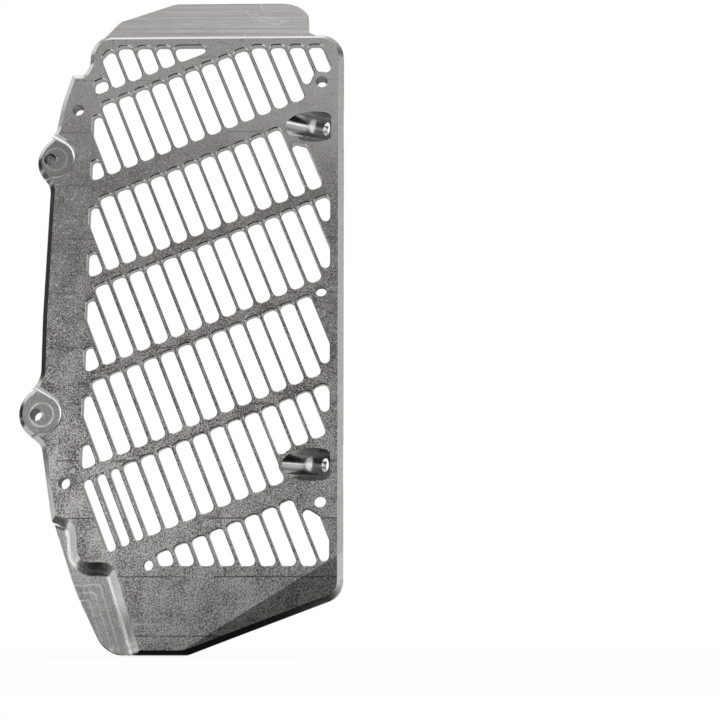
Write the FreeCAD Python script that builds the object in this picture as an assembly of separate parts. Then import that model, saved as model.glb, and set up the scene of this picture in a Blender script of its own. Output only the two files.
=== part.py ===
"""Left radiator guard of a motorcycle, milled from one block of aluminium.

The guard is drawn in front view: X to the right, Z up, and Y backwards from the front face.
X is measured from the straight inner edge and Z from the flat bottom edge, in millimetres.
At the end it is moved so that the origin is the seat of its upper outer bolt.
"""
import FreeCAD, Part
import math
import os

V = FreeCAD.Vector

# Plate
PLATE_T = 4.8
LIP_T = 7.5
LIP_W = 3.6
EDGE_CHAMFER = 2.5
DEEP = 40.0
SPARE = 1.0

# Outline
HEIGHT = 285.4
SIDE_X = -135.7
CORNER_X = SIDE_X + 17.7
SHOULDER_Z = HEIGHT - 19.2
LOWER_CORNERS = [(-68.2, 0, 10.0), (0, 25.6, 9.5)]
TOP_CORNER_R = 11.5
SIDE_R = 300.0

# Lower outer flank: distance in from the side, height and radius of each corner
FLANK = [(7.4, 57.5, 80.0), (18.3, 26.5, 80.0), (32.1, 0, 14.5)]

# Outer bolts, each in a lobe of the outline: hole, tip and radius of the lobe
UPPER_BOLT_X = SIDE_X - 0.2
UPPER_BOLT_Z = HEIGHT - 60.0
UPPER_TIP_X = UPPER_BOLT_X - 10.1
UPPER_TIP_R = 12.0
LOWER_BOLT_X = SIDE_X - 1.9
LOWER_BOLT_Z = 105.9
LOWER_TIP_X = LOWER_BOLT_X - 15.4
LOWER_TIP_R = 12.4
BOLT_HOLE_R = 2.75
RECESS_R = 9.8
RECESS_SHIFT = 2.6
RECESS_DEPTH = 3.0
RECESS_FILLET = 1.8
RECESS_TURN = math.radians(30)
RECESS_PASS = 4.5
RECESS_PASSES = 2
PASS_DEPTH = 0.12
SEAT_Y = RECESS_DEPTH + RECESS_PASSES * PASS_DEPTH
LOBE_CHAMFER = 2.2
POST_R = 8.8
POST_SHIFT = 1.2
UPPER_POST_BACK = 17.0
LOWER_POST_BACK = 14.0
BOLTS = [(UPPER_BOLT_X, UPPER_BOLT_Z, UPPER_POST_BACK), (LOWER_BOLT_X, LOWER_BOLT_Z, LOWER_POST_BACK)]

# Slot grid: its first column and row start at this point of the front face
GRID_X = -102.4
GRID_Z = HEIGHT - 29.6
GRID_ANGLE = math.radians(22.12)
PITCH = 8.265
SLOT_W = 6.85
CUTTER_R = 2.2
FLAT_TURN = math.radians(30)
SHORT_ROW = 34.15
LONG_ROW = 36.1
NARROW_BAND = 4.4
WIDE_BAND = 8.15
FIELD_LEFT = SIDE_X + 19.5
FIELD_RIGHT = -6.0
FIELD_TOP = HEIGHT - 5.7
FIELD_BOTTOM = 38.5
FIELD_CORNER = 6.7
TOP_OVAL = 6.7
TOP_SINGLES = 4
SHORT_END = 12.4
THIN_SLOTS = 3
THIN_SLOT_W = 4.5
THIN_PITCH = 6.4
THIN_FIRST = -77.8

# Small holes
HOLE_R = 2.65
HOLE_RIM = 2.4
INNER_HOLE_X = -10.1
INNER_HOLES_Z = (66.6, 161.6, HEIGHT - 24.2)
OUTER_HOLE_X = SIDE_X + 12.7
OUTER_HOLES_Z = (74.8, SHOULDER_Z - 18.0)
SMALL_HOLES = [(INNER_HOLE_X, z) for z in INNER_HOLES_Z] + [(OUTER_HOLE_X, z) for z in OUTER_HOLES_Z]
END_HOLE_X = -85.0
END_HOLE_Z = 38.8
END_HOLE_R = 2.25

# Angled counterbores at the inner edge
TILT = math.radians(57.0)
HEAD_R = 7.35
HEAD_STEP_R = 6.9
HEAD_STEP = 1.0
SHANK_R = 3.1
SEAT_X = -5.7
SEAT_REACH = 4.15
SEAT_WALL = 2.4
HEAD_WALL = 2.3
STRIP_T = 3.4
HEADS_Z = (82.9, HEIGHT - 46.0)
RIB_GAP = 1.7
HEAD_MOUTH_X = SEAT_X - SEAT_REACH / math.cos(TILT)

# Places with no slot: height of the hole above each, and corners below that height
NO_SLOT = [
    (HEADS_Z[1], [(-17.6, 2.4), (0, 2.4), (0, 34.4), (-4.6, 34.4)]),
    (INNER_HOLES_Z[1], [(-14.9, 0.3), (0, 0.3), (0, 23.5), (-5.5, 23.5)]),
    (HEADS_Z[0], [(-20.7, 8.9), (0, 8.9), (0, 27.8), (-6.2, 27.8), (-20.7, 18.8)]),
]

# Stepped corner at the lower outer side: corners of its rim with their radii
STEP_RIM = [
    (-160.0, 71.0, 0),
    (-117.2, 57.8, 7.5),
    (-115.6, 40.3, 5.5),
    (-100.2, 40.2, 7.2),
    (-83.6, -10.0, 0),
]
STEP_DEPTH = 7.2
STEP_CHAMFER = 3.2
STEP_FILLET = 3.0
STEP_BACK = 12.2
TERRACE_W = 4.7
TERRACE_H = 0.35
TERRACE_R = 2.5
TERRACES = 3

# Sloped facet at the lower inner corner
FACET_TOP_Z = 44.6
FACET_END_X = -73.0
FACET_TILT = 8.5

# Tab that leans back from the top edge
TAB_T = 4.0
TAB_LEAN = 32.0
TAB_LENGTH = 27.5
TAB_LEFT = CORNER_X + 4.7
TAB_RIGHT = -13.0
TAB_ROOT = 2.5
TAB_SINK = 0.9


def point(x, z, y=0.0):
    return V(x, y, z)


def polygon(corners):
    """Flat face through front-view points."""
    points = [point(x, z) for x, z in corners]
    return Part.Face(Part.makePolygon(points + points[:1]))


def rounded(corners):
    """Flat face through front-view corners (x, z, radius), with a tangent arc at each radius."""
    runs = []
    for i, (x, z, radius) in enumerate(corners):
        here = point(x, z)
        before = point(*corners[i - 1][:2]) - here
        after = point(*corners[(i + 1) % len(corners)][:2]) - here
        before.normalize()
        after.normalize()
        half = before.getAngle(after) / 2
        middle = before + after
        middle.normalize()
        reach = radius / math.tan(half)
        crown = here + middle * (radius / math.sin(half) - radius)
        runs.append((here + before * reach, crown, here + after * reach))
    edges = []
    for i, (start, crown, end) in enumerate(runs):
        if start.distanceToPoint(end) > 1e-6:
            edges.append(Part.Arc(start, crown, end).toShape())
        edges.append(Part.LineSegment(end, runs[(i + 1) % len(runs)][0]).toShape())
    return Part.Face(Part.Wire(edges))


def in_flats(face):
    """The face with each arc of its edge drawn as short flats, to keep the many slots light."""
    points = []
    for edge in face.OuterWire.OrderedEdges:
        turn = edge.Length * abs(edge.curvatureAt(edge.FirstParameter))
        count = max(1, math.ceil(turn / FLAT_TURN - 1e-6))
        flats = edge.discretize(count + 1)
        if edge.Orientation == "Reversed":
            flats.reverse()
        points.extend(flats[:-1])
    return Part.Face(Part.makePolygon(points + points[:1]))


def prism(face, front, back):
    """Solid of a front-view face between two depths."""
    flat = face.copy()
    flat.translate(V(0, front, 0))
    return flat.extrude(V(0, back - front, 0))


def disc(x, z, radius, front, back):
    """Round bar or hole along the depth."""
    return Part.makeCylinder(radius, back - front, point(x, z, front), V(0, 1, 0))


def edges_at(solid, depth):
    """Edges that lie at one depth."""
    boxes = [(edge, edge.BoundBox) for edge in solid.Edges]
    return [edge for edge, box in boxes if max(abs(box.YMin - depth), abs(box.YMax - depth)) < 1e-5]


def plate_outline():
    """Front view of the plate, counter-clockwise from the upper inner corner."""
    flank = [(SIDE_X + inset, z, radius) for inset, z, radius in FLANK]
    return rounded([
        (0, HEIGHT, TOP_CORNER_R),
        (CORNER_X, HEIGHT, 10.0),
        (CORNER_X - 0.8, SHOULDER_Z + 5.0, 2.0),
        (CORNER_X - 3.2, SHOULDER_Z, 2.0),
        (SIDE_X + 8.9, SHOULDER_Z, 0),
        (SIDE_X + 4.8, SHOULDER_Z - 13.7, 60.0),
        (SIDE_X + 2.5, UPPER_BOLT_Z + UPPER_TIP_R + 0.8, 8.5),
        (UPPER_TIP_X, UPPER_BOLT_Z, UPPER_TIP_R),
        (SIDE_X + 0.9, UPPER_BOLT_Z - UPPER_TIP_R - 1.6, 8.0),
        (SIDE_X - 0.3, (UPPER_BOLT_Z + LOWER_BOLT_Z) / 2 - 15.6, SIDE_R),
        (SIDE_X, LOWER_BOLT_Z + LOWER_TIP_R + 2.4, 11.0),
        (LOWER_TIP_X, LOWER_BOLT_Z + 0.6, LOWER_TIP_R),
        (SIDE_X + 1.5, LOWER_BOLT_Z - LOWER_TIP_R - 1.6, 7.0),
    ] + flank + LOWER_CORNERS)


def step_rim():
    """Front view of the stepped corner, up to the rim of its chamfer."""
    return rounded(STEP_RIM + [(STEP_RIM[0][0], STEP_RIM[-1][1], 0)])


def tipped(solid):
    """Part of a solid below the facet's upper line, tipped back about that line."""
    far = -FACET_END_X
    below = polygon([(FACET_END_X, 0), (FACET_END_X, -far), (far, -far), (far, 2 * FACET_TOP_Z)])
    part = solid.common(prism(below, -DEEP, DEEP))
    part.rotate(point(FACET_END_X, 0), V(-FACET_END_X, 0, FACET_TOP_Z), FACET_TILT)
    return part


def bevel_of(face, width):
    """Waste outside a bevel of this width round the front of a face, with room to spare outside it."""
    kept = prism(face.makeOffset2D(SPARE, 0), 0, DEEP)
    kept = kept.makeChamfer(width + SPARE, edges_at(kept, 0))
    return prism(face.makeOffset2D(5 * SPARE, 0), -SPARE, width + SPARE).cut(kept)


def plate():
    """Plate with a chamfered front edge, a sloped facet and a hollow back inside its lip."""
    face = plate_outline()
    solid = prism(face, 0, LIP_T)
    solid = solid.makeChamfer(EDGE_CHAMFER, edges_at(solid, 0))
    corner = rounded([(SIDE_X, 0, 0)] + LOWER_CORNERS + [(0, HEIGHT, 0), (SIDE_X, HEIGHT, 0)])
    solid = solid.cut(tipped(prism(corner.makeOffset2D(5 * SPARE, 0), -DEEP, 0)))
    solid = solid.cut(tipped(bevel_of(corner, EDGE_CHAMFER)))
    hollow = face.makeOffset2D(-LIP_W, 0)
    return solid.cut(prism(hollow, PLATE_T, LIP_T + SPARE))


def lattice(across, down):
    """Point of the slot grid, across its columns and down its rows."""
    x = GRID_X + across * math.cos(GRID_ANGLE) + down * math.sin(GRID_ANGLE)
    z = GRID_Z + across * math.sin(GRID_ANGLE) - down * math.cos(GRID_ANGLE)
    return x, z


def cell(left, right, top, bottom):
    """Area of the cutter's centre in one slot of the grid."""
    left, right, top, bottom = left + CUTTER_R, right - CUTTER_R, top + CUTTER_R, bottom - CUTTER_R
    return polygon([lattice(left, top), lattice(right, top), lattice(right, bottom), lattice(left, bottom)])


def column(index):
    """Left and right side of a column of slots."""
    return index * PITCH - SLOT_W / 2, index * PITCH + SLOT_W / 2


def rows():
    """Top and bottom of each row of slots, down from the start of the grid."""
    lengths = [SHORT_ROW, SHORT_ROW, SHORT_ROW, LONG_ROW, LONG_ROW, SHORT_ROW, SHORT_ROW]
    bands = [NARROW_BAND, WIDE_BAND, NARROW_BAND, NARROW_BAND, NARROW_BAND, WIDE_BAND, 0]
    top = -NARROW_BAND - SHORT_ROW
    spans = []
    for length, band in zip(lengths, bands):
        spans.append((top, top + length))
        top = top + length + band
    return spans


def slot_cells():
    """Areas of the cutter's centre in all slots, before the field and the holes trim them."""
    spans = rows()
    top, bottom = spans[0]
    cells = [cell(*column(-1), bottom - TOP_OVAL, bottom)]
    for index in range(TOP_SINGLES):
        cells.append(cell(*column(index), top, bottom))
    cells.append(cell(column(TOP_SINGLES)[0], 12 * PITCH, top, bottom))
    for top, bottom in spans[1:5]:
        for index in range(-12, 14):
            cells.append(cell(*column(index), top, bottom))
    top, bottom = spans[5]
    for index in range(THIN_SLOTS):
        middle = THIN_FIRST + index * THIN_PITCH
        cells.append(cell(middle - THIN_SLOT_W / 2, middle + THIN_SLOT_W / 2, top, bottom))
    for index in range(-7, 10):
        cells.append(cell(*column(index), top, bottom - (SHORT_END if index > 1 else 0)))
    top, bottom = spans[6]
    for index in range(-7, 2):
        cells.append(cell(*column(index), top, bottom))
    return cells


def kept_clear():
    """Areas round holes and corners that the cutter's centre keeps out of."""
    areas = [polygon([(x, z - below) for x, below in corners]) for z, corners in NO_SLOT]
    for z in HEADS_Z:
        reach = HEAD_R / math.cos(TILT) + RIB_GAP + CUTTER_R
        rise = HEAD_R + RIB_GAP + CUTTER_R
        corners = []
        for step in range(32):
            turn = math.radians(11.25 * step)
            corners.append((HEAD_MOUTH_X + reach * math.cos(turn), z + rise * math.sin(turn)))
        areas.append(polygon(corners))
    for z in INNER_HOLES_Z:
        ring = Part.Circle(point(INNER_HOLE_X, z), V(0, 1, 0), HOLE_R + HOLE_RIM + CUTTER_R)
        areas.append(Part.Face(Part.Wire(ring.toShape())))
    return areas


def slots():
    """Slots through the whole depth, with the round corners that the cutter leaves."""
    inner = CUTTER_R
    left, right = FIELD_LEFT + inner, FIELD_RIGHT - inner
    bottom, top = FIELD_BOTTOM + inner, FIELD_TOP - inner
    field = polygon([
        (left, bottom),
        (right, bottom),
        (right, top),
        (left + FIELD_CORNER, top),
        (left, top - FIELD_CORNER * 1.1),
    ])
    keep = kept_clear()
    tools = []
    for area in slot_cells():
        area = area.common(field)
        if not area.Faces:
            continue
        for face in area.cut(keep).Faces:
            tools.append(prism(in_flats(face.makeOffset2D(CUTTER_R, 0)), -DEEP, DEEP))
    return tools


def cup(x, z):
    """Front view of the recess over an outer bolt: round towards the plate and open to the outside."""
    middle = x + RECESS_SHIFT
    near = middle + RECESS_R
    upper = z + RECESS_R * math.tan((math.pi / 2 - RECESS_TURN) / 2)
    far = 5 * RECESS_R
    return rounded([
        (near, upper, RECESS_R - 0.001),
        (near - far * math.cos(RECESS_TURN), upper + far * math.sin(RECESS_TURN), 0),
        (middle - far, z - RECESS_R - far * math.sin(RECESS_TURN), 0),
        (middle - SPARE, z - RECESS_R, 0),
        (near, z - RECESS_R, RECESS_R - 0.001),
    ])


def lobe_waste(face, x, z):
    """Waste over an outer bolt: the recess, its shallow cutter passes, and the bevel of the lobe."""
    area = cup(x, z)
    recess = prism(area, -DEEP, RECESS_DEPTH)
    waste = [recess.makeFillet(RECESS_FILLET, edges_at(recess, RECESS_DEPTH))]
    for step in range(1, RECESS_PASSES + 1):
        inner = area.makeOffset2D(-step * RECESS_PASS, 0)
        waste.append(prism(inner, 0, RECESS_DEPTH + step * PASS_DEPTH))
    bevel = bevel_of(face, LOBE_CHAMFER)
    bevel.translate(V(0, RECESS_DEPTH, 0))
    waste.append(bevel.common(prism(area, RECESS_DEPTH, DEEP)))
    return waste


def seat(t, z):
    """Point on the axis of an angled counterbore, this far behind its seat."""
    x = SEAT_X - SEAT_REACH * math.cos(TILT) + t * math.sin(TILT)
    return point(x, z, SEAT_REACH * math.sin(TILT) + t * math.cos(TILT))


def angled(z, radius, start, end):
    """Round bar along the axis of an angled counterbore, between two distances behind its seat."""
    return Part.makeCylinder(radius, end - start, seat(start, z), V(math.sin(TILT), math.cos(TILT), 0))


def tab():
    """Tab that leans back from the chamfer of the top edge."""
    face = rounded([
        (TAB_LEFT, -TAB_ROOT, 0),
        (TAB_RIGHT, -TAB_ROOT, 0),
        (TAB_RIGHT - 0.6, 1.0, 2.0),
        (TAB_RIGHT - 3.3, 2.6, 2.0),
        (TAB_RIGHT - 4.4, TAB_LENGTH, 14.0),
        (TAB_LEFT + 32.0, TAB_LENGTH, 8.0),
        (TAB_LEFT + 6.8, TAB_LENGTH - 14.8, 6.0),
    ])
    slab = prism(face, 0, TAB_T)
    slab.rotate(V(0, 0, 0), V(1, 0, 0), -TAB_LEAN)
    slab.translate(point(0, HEIGHT - TAB_SINK, EDGE_CHAMFER - TAB_SINK))
    return slab


def guard():
    """The whole guard: the plate with what stands behind it, less everything that is cut away."""
    face = plate_outline()
    body = plate()
    rim = step_rim()
    added = [tab()]
    for x, z, back in BOLTS:
        added.append(prism(face, PLATE_T - SPARE, back).common(disc(x + POST_SHIFT, z, POST_R, 0, DEEP)))
    pad = rim.makeOffset2D(SPARE, 0).common(face)
    added.append(prism(pad, PLATE_T - SPARE, STEP_BACK))
    for x, z in SMALL_HOLES:
        added.append(disc(x, z, HOLE_R + HOLE_RIM, PLATE_T - SPARE, LIP_T).common(prism(face, 0, DEEP)))
    for z in HEADS_Z:
        boss = angled(z, HEAD_R + HEAD_WALL, -DEEP, SEAT_WALL)
        added.append(boss.common(prism(face, SPARE, DEEP)))
    body = body.fuse(added)
    waste = slots()
    for x, z, back in BOLTS:
        waste.extend(lobe_waste(face, x, z))
        waste.append(disc(x, z, BOLT_HOLE_R, -SPARE, DEEP))
    flare = prism(rim, -DEEP, STEP_CHAMFER)
    waste.append(flare.makeChamfer(STEP_CHAMFER - 0.01, edges_at(flare, STEP_CHAMFER)))
    pocket = prism(rim.makeOffset2D(-STEP_CHAMFER, 0), -DEEP, STEP_DEPTH)
    waste.append(pocket.makeFillet(STEP_FILLET, edges_at(pocket, STEP_DEPTH)))
    for step in range(1, TERRACES + 1):
        inset = STEP_CHAMFER + STEP_FILLET + step * TERRACE_W
        terrace = rim.makeOffset2D(-inset - TERRACE_R, 0).makeOffset2D(TERRACE_R, 0)
        waste.append(prism(terrace, 0, STEP_DEPTH + step * TERRACE_H))
    for x, z in SMALL_HOLES:
        waste.append(disc(x, z, HOLE_R, -SPARE, DEEP))
    waste.append(disc(END_HOLE_X, END_HOLE_Z, END_HOLE_R, -SPARE, DEEP))
    behind = prism(polygon([(-DEEP, 0), (DEEP, 0), (DEEP, HEIGHT), (-DEEP, HEIGHT)]), STRIP_T, 2 * DEEP)
    for z in HEADS_Z:
        waste.append(angled(z, HEAD_R, -DEEP, -HEAD_STEP))
        waste.append(angled(z, HEAD_STEP_R, -2 * HEAD_STEP, 0))
        waste.append(angled(z, SHANK_R, -SPARE, DEEP))
        waste.append(angled(z, HEAD_R + HEAD_WALL, SEAT_WALL, DEEP).common(behind))
    body = body.cut(waste).removeSplitter().Solids[0]
    body.translate(V(-UPPER_BOLT_X, -SEAT_Y, -UPPER_BOLT_Z))
    return body


os.makedirs("parts", exist_ok=True)
shape = guard()
shape.exportStep("parts/radiator_guard.step")
print("radiator_guard", "valid" if shape.isValid() else "not valid", round(shape.Volume), "mm3")
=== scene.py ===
"""Finish of a milled aluminium radiator guard for a motorcycle, and the small studio it stands in.

Everything is in metres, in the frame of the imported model: X to the right, Y backwards, Z up.
"""
import math

import bmesh
import bpy
import numpy as np
from mathutils import Matrix, Vector


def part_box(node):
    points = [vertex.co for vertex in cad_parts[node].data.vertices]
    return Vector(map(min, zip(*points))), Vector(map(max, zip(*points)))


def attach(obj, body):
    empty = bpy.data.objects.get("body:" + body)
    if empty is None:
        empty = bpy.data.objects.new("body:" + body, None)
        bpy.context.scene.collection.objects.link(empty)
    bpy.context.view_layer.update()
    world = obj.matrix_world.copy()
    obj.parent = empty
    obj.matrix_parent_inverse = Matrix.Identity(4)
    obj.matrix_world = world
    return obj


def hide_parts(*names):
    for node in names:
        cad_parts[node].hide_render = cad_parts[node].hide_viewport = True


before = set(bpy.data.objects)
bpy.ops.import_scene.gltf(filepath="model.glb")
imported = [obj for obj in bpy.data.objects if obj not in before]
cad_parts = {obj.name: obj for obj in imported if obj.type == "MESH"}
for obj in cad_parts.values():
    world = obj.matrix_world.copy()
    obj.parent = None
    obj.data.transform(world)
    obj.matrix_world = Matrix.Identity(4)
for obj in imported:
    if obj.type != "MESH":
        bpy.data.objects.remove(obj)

bl_info = {
    "name": "Milled Radiator Guard",
    "version": (1, 0, 0),
    "blender": (4, 5, 0),
    "location": "3D Viewport > Sidebar > Radiator Guard",
    "description": "Gives a packed radiator guard its milled aluminium finish, and sets up the studio",
    "category": "Object",
}

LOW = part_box("radiator_guard")[0]
FRONT_Y = LOW.y

# Top of the plate without its tab, and how far behind the front the tab's faces start
PLATE_TOP_Z = 0.060
TAB_BACK = 0.003

# Angled bores: their axis, the middle of a seat at z = 0, their heights, the area (x, half the height) that
# their mouths and bosses take, and the turn round Z that lays the tool lines round them
BORE_AXIS = Vector((0.83867, 0.54464, 0.0))
BORE_SEAT = Vector((0.12794, 0.00024, 0.0))
BORES_Z = (0.014, -0.1425)
BORE_SPAN_X = (0.108, 0.1345)
BORE_REACH_Z = 0.0085
BORE_TURN = math.pi / 2 - math.atan2(BORE_AXIS.y, BORE_AXIS.x)

# Outer bolts (x, z) and how far their lobes reach, and all round holes and how far they reach
LOBES = ((0.0, 0.0), (-0.0017, -0.1195))
LOBE_REACH = 0.0125
HOLES = LOBES + ((0.1258, -0.1588), (0.1258, -0.0638), (0.1258, 0.0358), (0.0129, -0.1506), (0.0129, 0.0228),
                 (0.0509, -0.1866))
HOLE_REACH = 0.0032

# Stepped corner: its top and its right side, and its chamfer; and how far behind the front a face is sunk
STEP_TOP_Z = -0.150
STEP_SIDE_X = 0.056
STEP_CHAMFER = 0.0036
SUNK = 0.0005

# How faces lie, as the cosine between their normal and an axis
SQUARE = 0.97  # looks along the axis
BACKWARDS = 0.9  # looks backwards, or nearly
UPRIGHT = 0.05  # most of a wall, for its finish
STRAIGHT = 0.03  # most of a wall, for its shading
ROUND_WALL = 0.08  # most of a bore's wall along the bore
SIDEWAYS = 0.1  # most of the tab's faces to the side
FILLET_TILT = 0.02  # least of a fillet
TAB_TILT = (0.7, 0.93)  # least and most of the tab's faces
BEVEL_TILT = (0.68, 0.73)  # least and most of a bevel

# Turns from one face to the next
CREASE_TURN = math.radians(4)  # least of a crease
WALL_TURN = math.radians(40)  # most of walls that are shaded as one
BREAK_TURN = math.radians(60)  # least of a sharp outer edge
FLAT_TURN = math.radians(0.2)  # most of faces that are merged into one

# Limits for the mesh
MERGE_DISTANCE = 2e-6  # of points that are merged
SLIVER_WIDTH = 0.0006  # of faces beside which no edge is broken
FLAT_SHARE = 1.6  # most width of a broken edge's flat, as a share of the width asked for
AGREEMENT = 0.8  # least cosine between a shading normal and its face

# Heights over which the plate's painted light changes: its grain is painted stronger downwards, and painted
# light makes it lighter in the bottom quarter and along the top, where the change lies lower to the right by this
# slope
GRAIN_SPAN_Z = (-0.02, -0.15)
LIT_BOTTOM_SPAN_Z = (-0.1, -0.165)
LIT_TOP_SPAN_Z = (-0.005, 0.06)
LIT_TOP_SLOPE = 0.15

# Steps between the face mill's passes: height of one of them, width and colour
PASS_Z = -0.0137
PASS_WIDTH = 0.0004
PASS_COLOUR = (0.15, 0.145, 0.14)

# Colour of specks, scratches and cusps; the bright specks are painted glints
GLINT = (0.95, 0.95, 0.945)

# Noise that makes up the grain (share of its rate, detail, roughness, distortion and weight), how much it
# is strengthened, and the share of the rate and the levels of the noise that makes the bright specks
GRAIN_LAYERS = (
    (1.0, 3.0, 0.62, 0.6, 0.55),
    (2.7, 2.0, 0.7, 0.0, 0.3),
    (0.06, 3.0, 0.6, 0.0, 0.18),
)
GRAIN_GAIN = 5.0
SPECK_RATE = 0.9
SPECK_LEVELS = (0.63, 0.7)

# Tool lines: width of their noise as a share of its length, and rate, levels and strength of their patches
LINE_STRETCH = 0.012
PATCH_RATE = 90.0
PATCH_LEVELS = (0.3, 0.7)
PATCH_GAIN = (1.6, 3.8)

# Sets of hairline scratches: turn round Y, rate and stretch of the noise whose middle level draws them.
# How far from that level they reach, and rate and levels of the noise that cuts them into lengths
SCRATCHES = (
    (0.9, 38.0, 0.18),
    (-0.55, 55.0, 0.12),
    (0.15, 46.0, 0.15),
)
SCRATCH_REACH = 0.0035
LENGTH_RATE = 2.2
LENGTH_LEVELS = (0.54, 0.62)

# Rate and levels of the noise that wears pass lines and cusps, and how much of a worn cusp is left
PASS_WEAR_RATE = 70.0
PASS_WEAR_LEVELS = (0.37, 0.52)
CUSP_WEAR_RATE = 260.0
CUSP_WEAR_LEVELS = (0.34, 0.54)
CUSP_LEFT = 0.4

# Cutter passes on the sunk floors: middle of a round recess from its bolt, its radius and the passes'
# width; corners (x, z) of the stepped corner's rim, its wall's width in front view, the passes' width and
# how far their corners are rounded; and the turn round Y of the tool lines on both
RECESS_SHIFT = 0.0026
RECESS_R = 0.0098
RECESS_PASS = 0.0045
STEP_RIM = ((-0.0241, -0.1544), (0.0187, -0.1676), (0.0203, -0.1851), (0.0357, -0.1852), (0.0523, -0.2354))
STEP_WALL = 0.0062
STEP_PASS = 0.0032
STEP_ROUNDING = 0.003
STROKE_TURN = math.radians(-72)

# Soft lights of the room and two dark sides: direction, degrees from it of full and of none, and strength
GLOWS = (
    ((0.05, -0.1, 1.0), (30, 52), 0.4),
    ((0.4, -0.85, 0.42), (8, 34), 0.2),
    ((-0.16, 0.32, 0.93), (8, 23), 0.8),
    ((-0.6, -0.8, -0.18), (16, 37), 0.8),
    ((-0.75, -0.66, -0.16), (25, 35), 1.3),
    ((1.0, -0.1, 0.1), (14, 30), 0.54),
    ((-0.72, 0.3, 0.64), (8, 20), 0.9),
    ((-0.95, 0.2, 0.1), (14, 32), -0.13),
    ((-0.5, -0.75, 0.45), (12, 34), -0.16),
)

# Room, by the unit vector of a direction: z over which it darkens downwards, and to what share, and y over
# which it turns white. Floor: its own brightness, and the share of it that camera and reflections see
UNDER_SPAN = (-0.12, 0.05)
UNDER_SHARE = 0.15
WHITE_SPAN = (0.6, 0.85)
FLOOR_BRIGHTNESS = 1.15
FLOOR_SHARE = 0.72

# Cards that only reflections show. Black ones lie on the floor, in front and far left (left, right, near,
# far). Pale ones stand at the left foot, one of them broad and nine as low slats (x, near, far, height)
DARK_CARDS = ((-0.04, 0.8, -0.7, 0.012), (-2.0, -0.33, -0.1, 1.0))
DARK_LIFT = 0.0004
DARK_LEVEL = 0.008
PALE_CARDS = ((-0.085, -0.08, 0.04, 0.078),) + tuple(
    (0.009 * number - 0.03, -0.02, 0.0035, 0.0026) for number in range(9))
PALE_LEVEL = 0.75

# Soft light overhead: its place, the point it looks at, and its size
LIGHT_PLACE = (0.35, -0.35, 1.1)
LIGHT_TARGET = (0.06, 0.0, -0.05)
LIGHT_SIZE = (0.9, 0.6)

# Camera: its place, and the directions to the right, up and ahead of it
CAMERA_PLACE = (0.15515, -0.64955, -0.22197)
CAMERA_RIGHT = (0.999835, 0.018182, -0.000368)
CAMERA_UP = (0.003845, -0.191604, 0.981465)
CAMERA_AHEAD = (-0.017775, 0.981304, 0.191642)

# Order of the finishes on the guard's faces
FACE, TAB, WALL, BEVEL, POCKET, FILLET, BORE, HOLE, EDGE = range(9)


# Sizes and colours

class GuardFinish(bpy.types.PropertyGroup):
    """Sizes and colours of the guard's finish."""
    edge_width: bpy.props.FloatProperty(
        name="Edge Break", description="Width of the flat along sharp outer edges",
        default=0.0004, min=0.0, max=0.001, precision=5, subtype="DISTANCE", unit="LENGTH")
    face_light: bpy.props.FloatVectorProperty(
        name="Face, Light", description="Colour of the light grains on the plate",
        default=(0.96, 0.954, 0.936), size=3, subtype="COLOR", min=0.0, max=1.0)
    face_dark: bpy.props.FloatVectorProperty(
        name="Face, Dark", description="Colour of the dark grains on the plate",
        default=(0.12, 0.116, 0.109), size=3, subtype="COLOR", min=0.0, max=1.0)
    cut_colour: bpy.props.FloatVectorProperty(
        name="Fresh Cut", description="Colour of walls, bevels and bores",
        default=(0.72, 0.72, 0.715), size=3, subtype="COLOR", min=0.0, max=1.0)
    edge_colour: bpy.props.FloatVectorProperty(
        name="Worn Edge", description="Colour of the broken edges",
        default=(0.86, 0.86, 0.855), size=3, subtype="COLOR", min=0.0, max=1.0)
    grain_size: bpy.props.FloatProperty(
        name="Grain Size", description="Size of the grains on the plate",
        default=0.00065, min=0.0001, max=0.01, precision=5, subtype="DISTANCE", unit="LENGTH")
    pass_spacing: bpy.props.FloatProperty(
        name="Pass Spacing", description="Distance between the face mill's passes",
        default=0.0254, min=0.005, max=0.1, precision=4, subtype="DISTANCE", unit="LENGTH")


class GuardStage(bpy.types.PropertyGroup):
    """Floor, room, light and camera of the studio."""
    floor_colour: bpy.props.FloatVectorProperty(
        name="Floor", description="Colour of the floor",
        default=(0.9, 0.9, 0.9), size=3, subtype="COLOR", min=0.0, max=1.0)
    floor_size: bpy.props.FloatProperty(
        name="Floor Size", description="Side of the square floor",
        default=12.0, min=1.0, max=50.0, subtype="DISTANCE", unit="LENGTH")
    room_level: bpy.props.FloatProperty(
        name="Room", description="Brightness of the room between its soft lights",
        default=0.16, min=0.0, max=2.0)
    top_power: bpy.props.FloatProperty(
        name="Top Light", description="Power of the soft light overhead, in watts",
        default=2.0, min=0.0, max=500.0)
    lens: bpy.props.FloatProperty(
        name="Lens", description="Focal length on a 36 mm sensor, in millimetres",
        default=73.76, min=10.0, max=300.0)


# Small helpers for node trees

def put(tree, kind, at, settings=None, **values):
    """One node of a tree: settings are the node's own, values are its inputs by name or index."""
    node = tree.nodes.new(kind)
    node.location = (at[0] * 200, at[1] * 160)
    for name, value in (settings or {}).items():
        setattr(node, name, value)
    for name, value in values.items():
        socket = node.inputs[int(name[1:])] if name[0] == "i" and name[1:].isdigit() else node.inputs[name]
        if isinstance(value, bpy.types.NodeSocket):
            tree.links.new(value, socket)
        else:
            socket.default_value = value
    return node


def calculate(tree, at, operation, first, second=0.0, third=0.0, clamp=False):
    """Result of a Math node."""
    settings = {"operation": operation, "use_clamp": clamp}
    return put(tree, "ShaderNodeMath", at, settings, i0=first, i1=second, i2=third).outputs[0]


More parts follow.
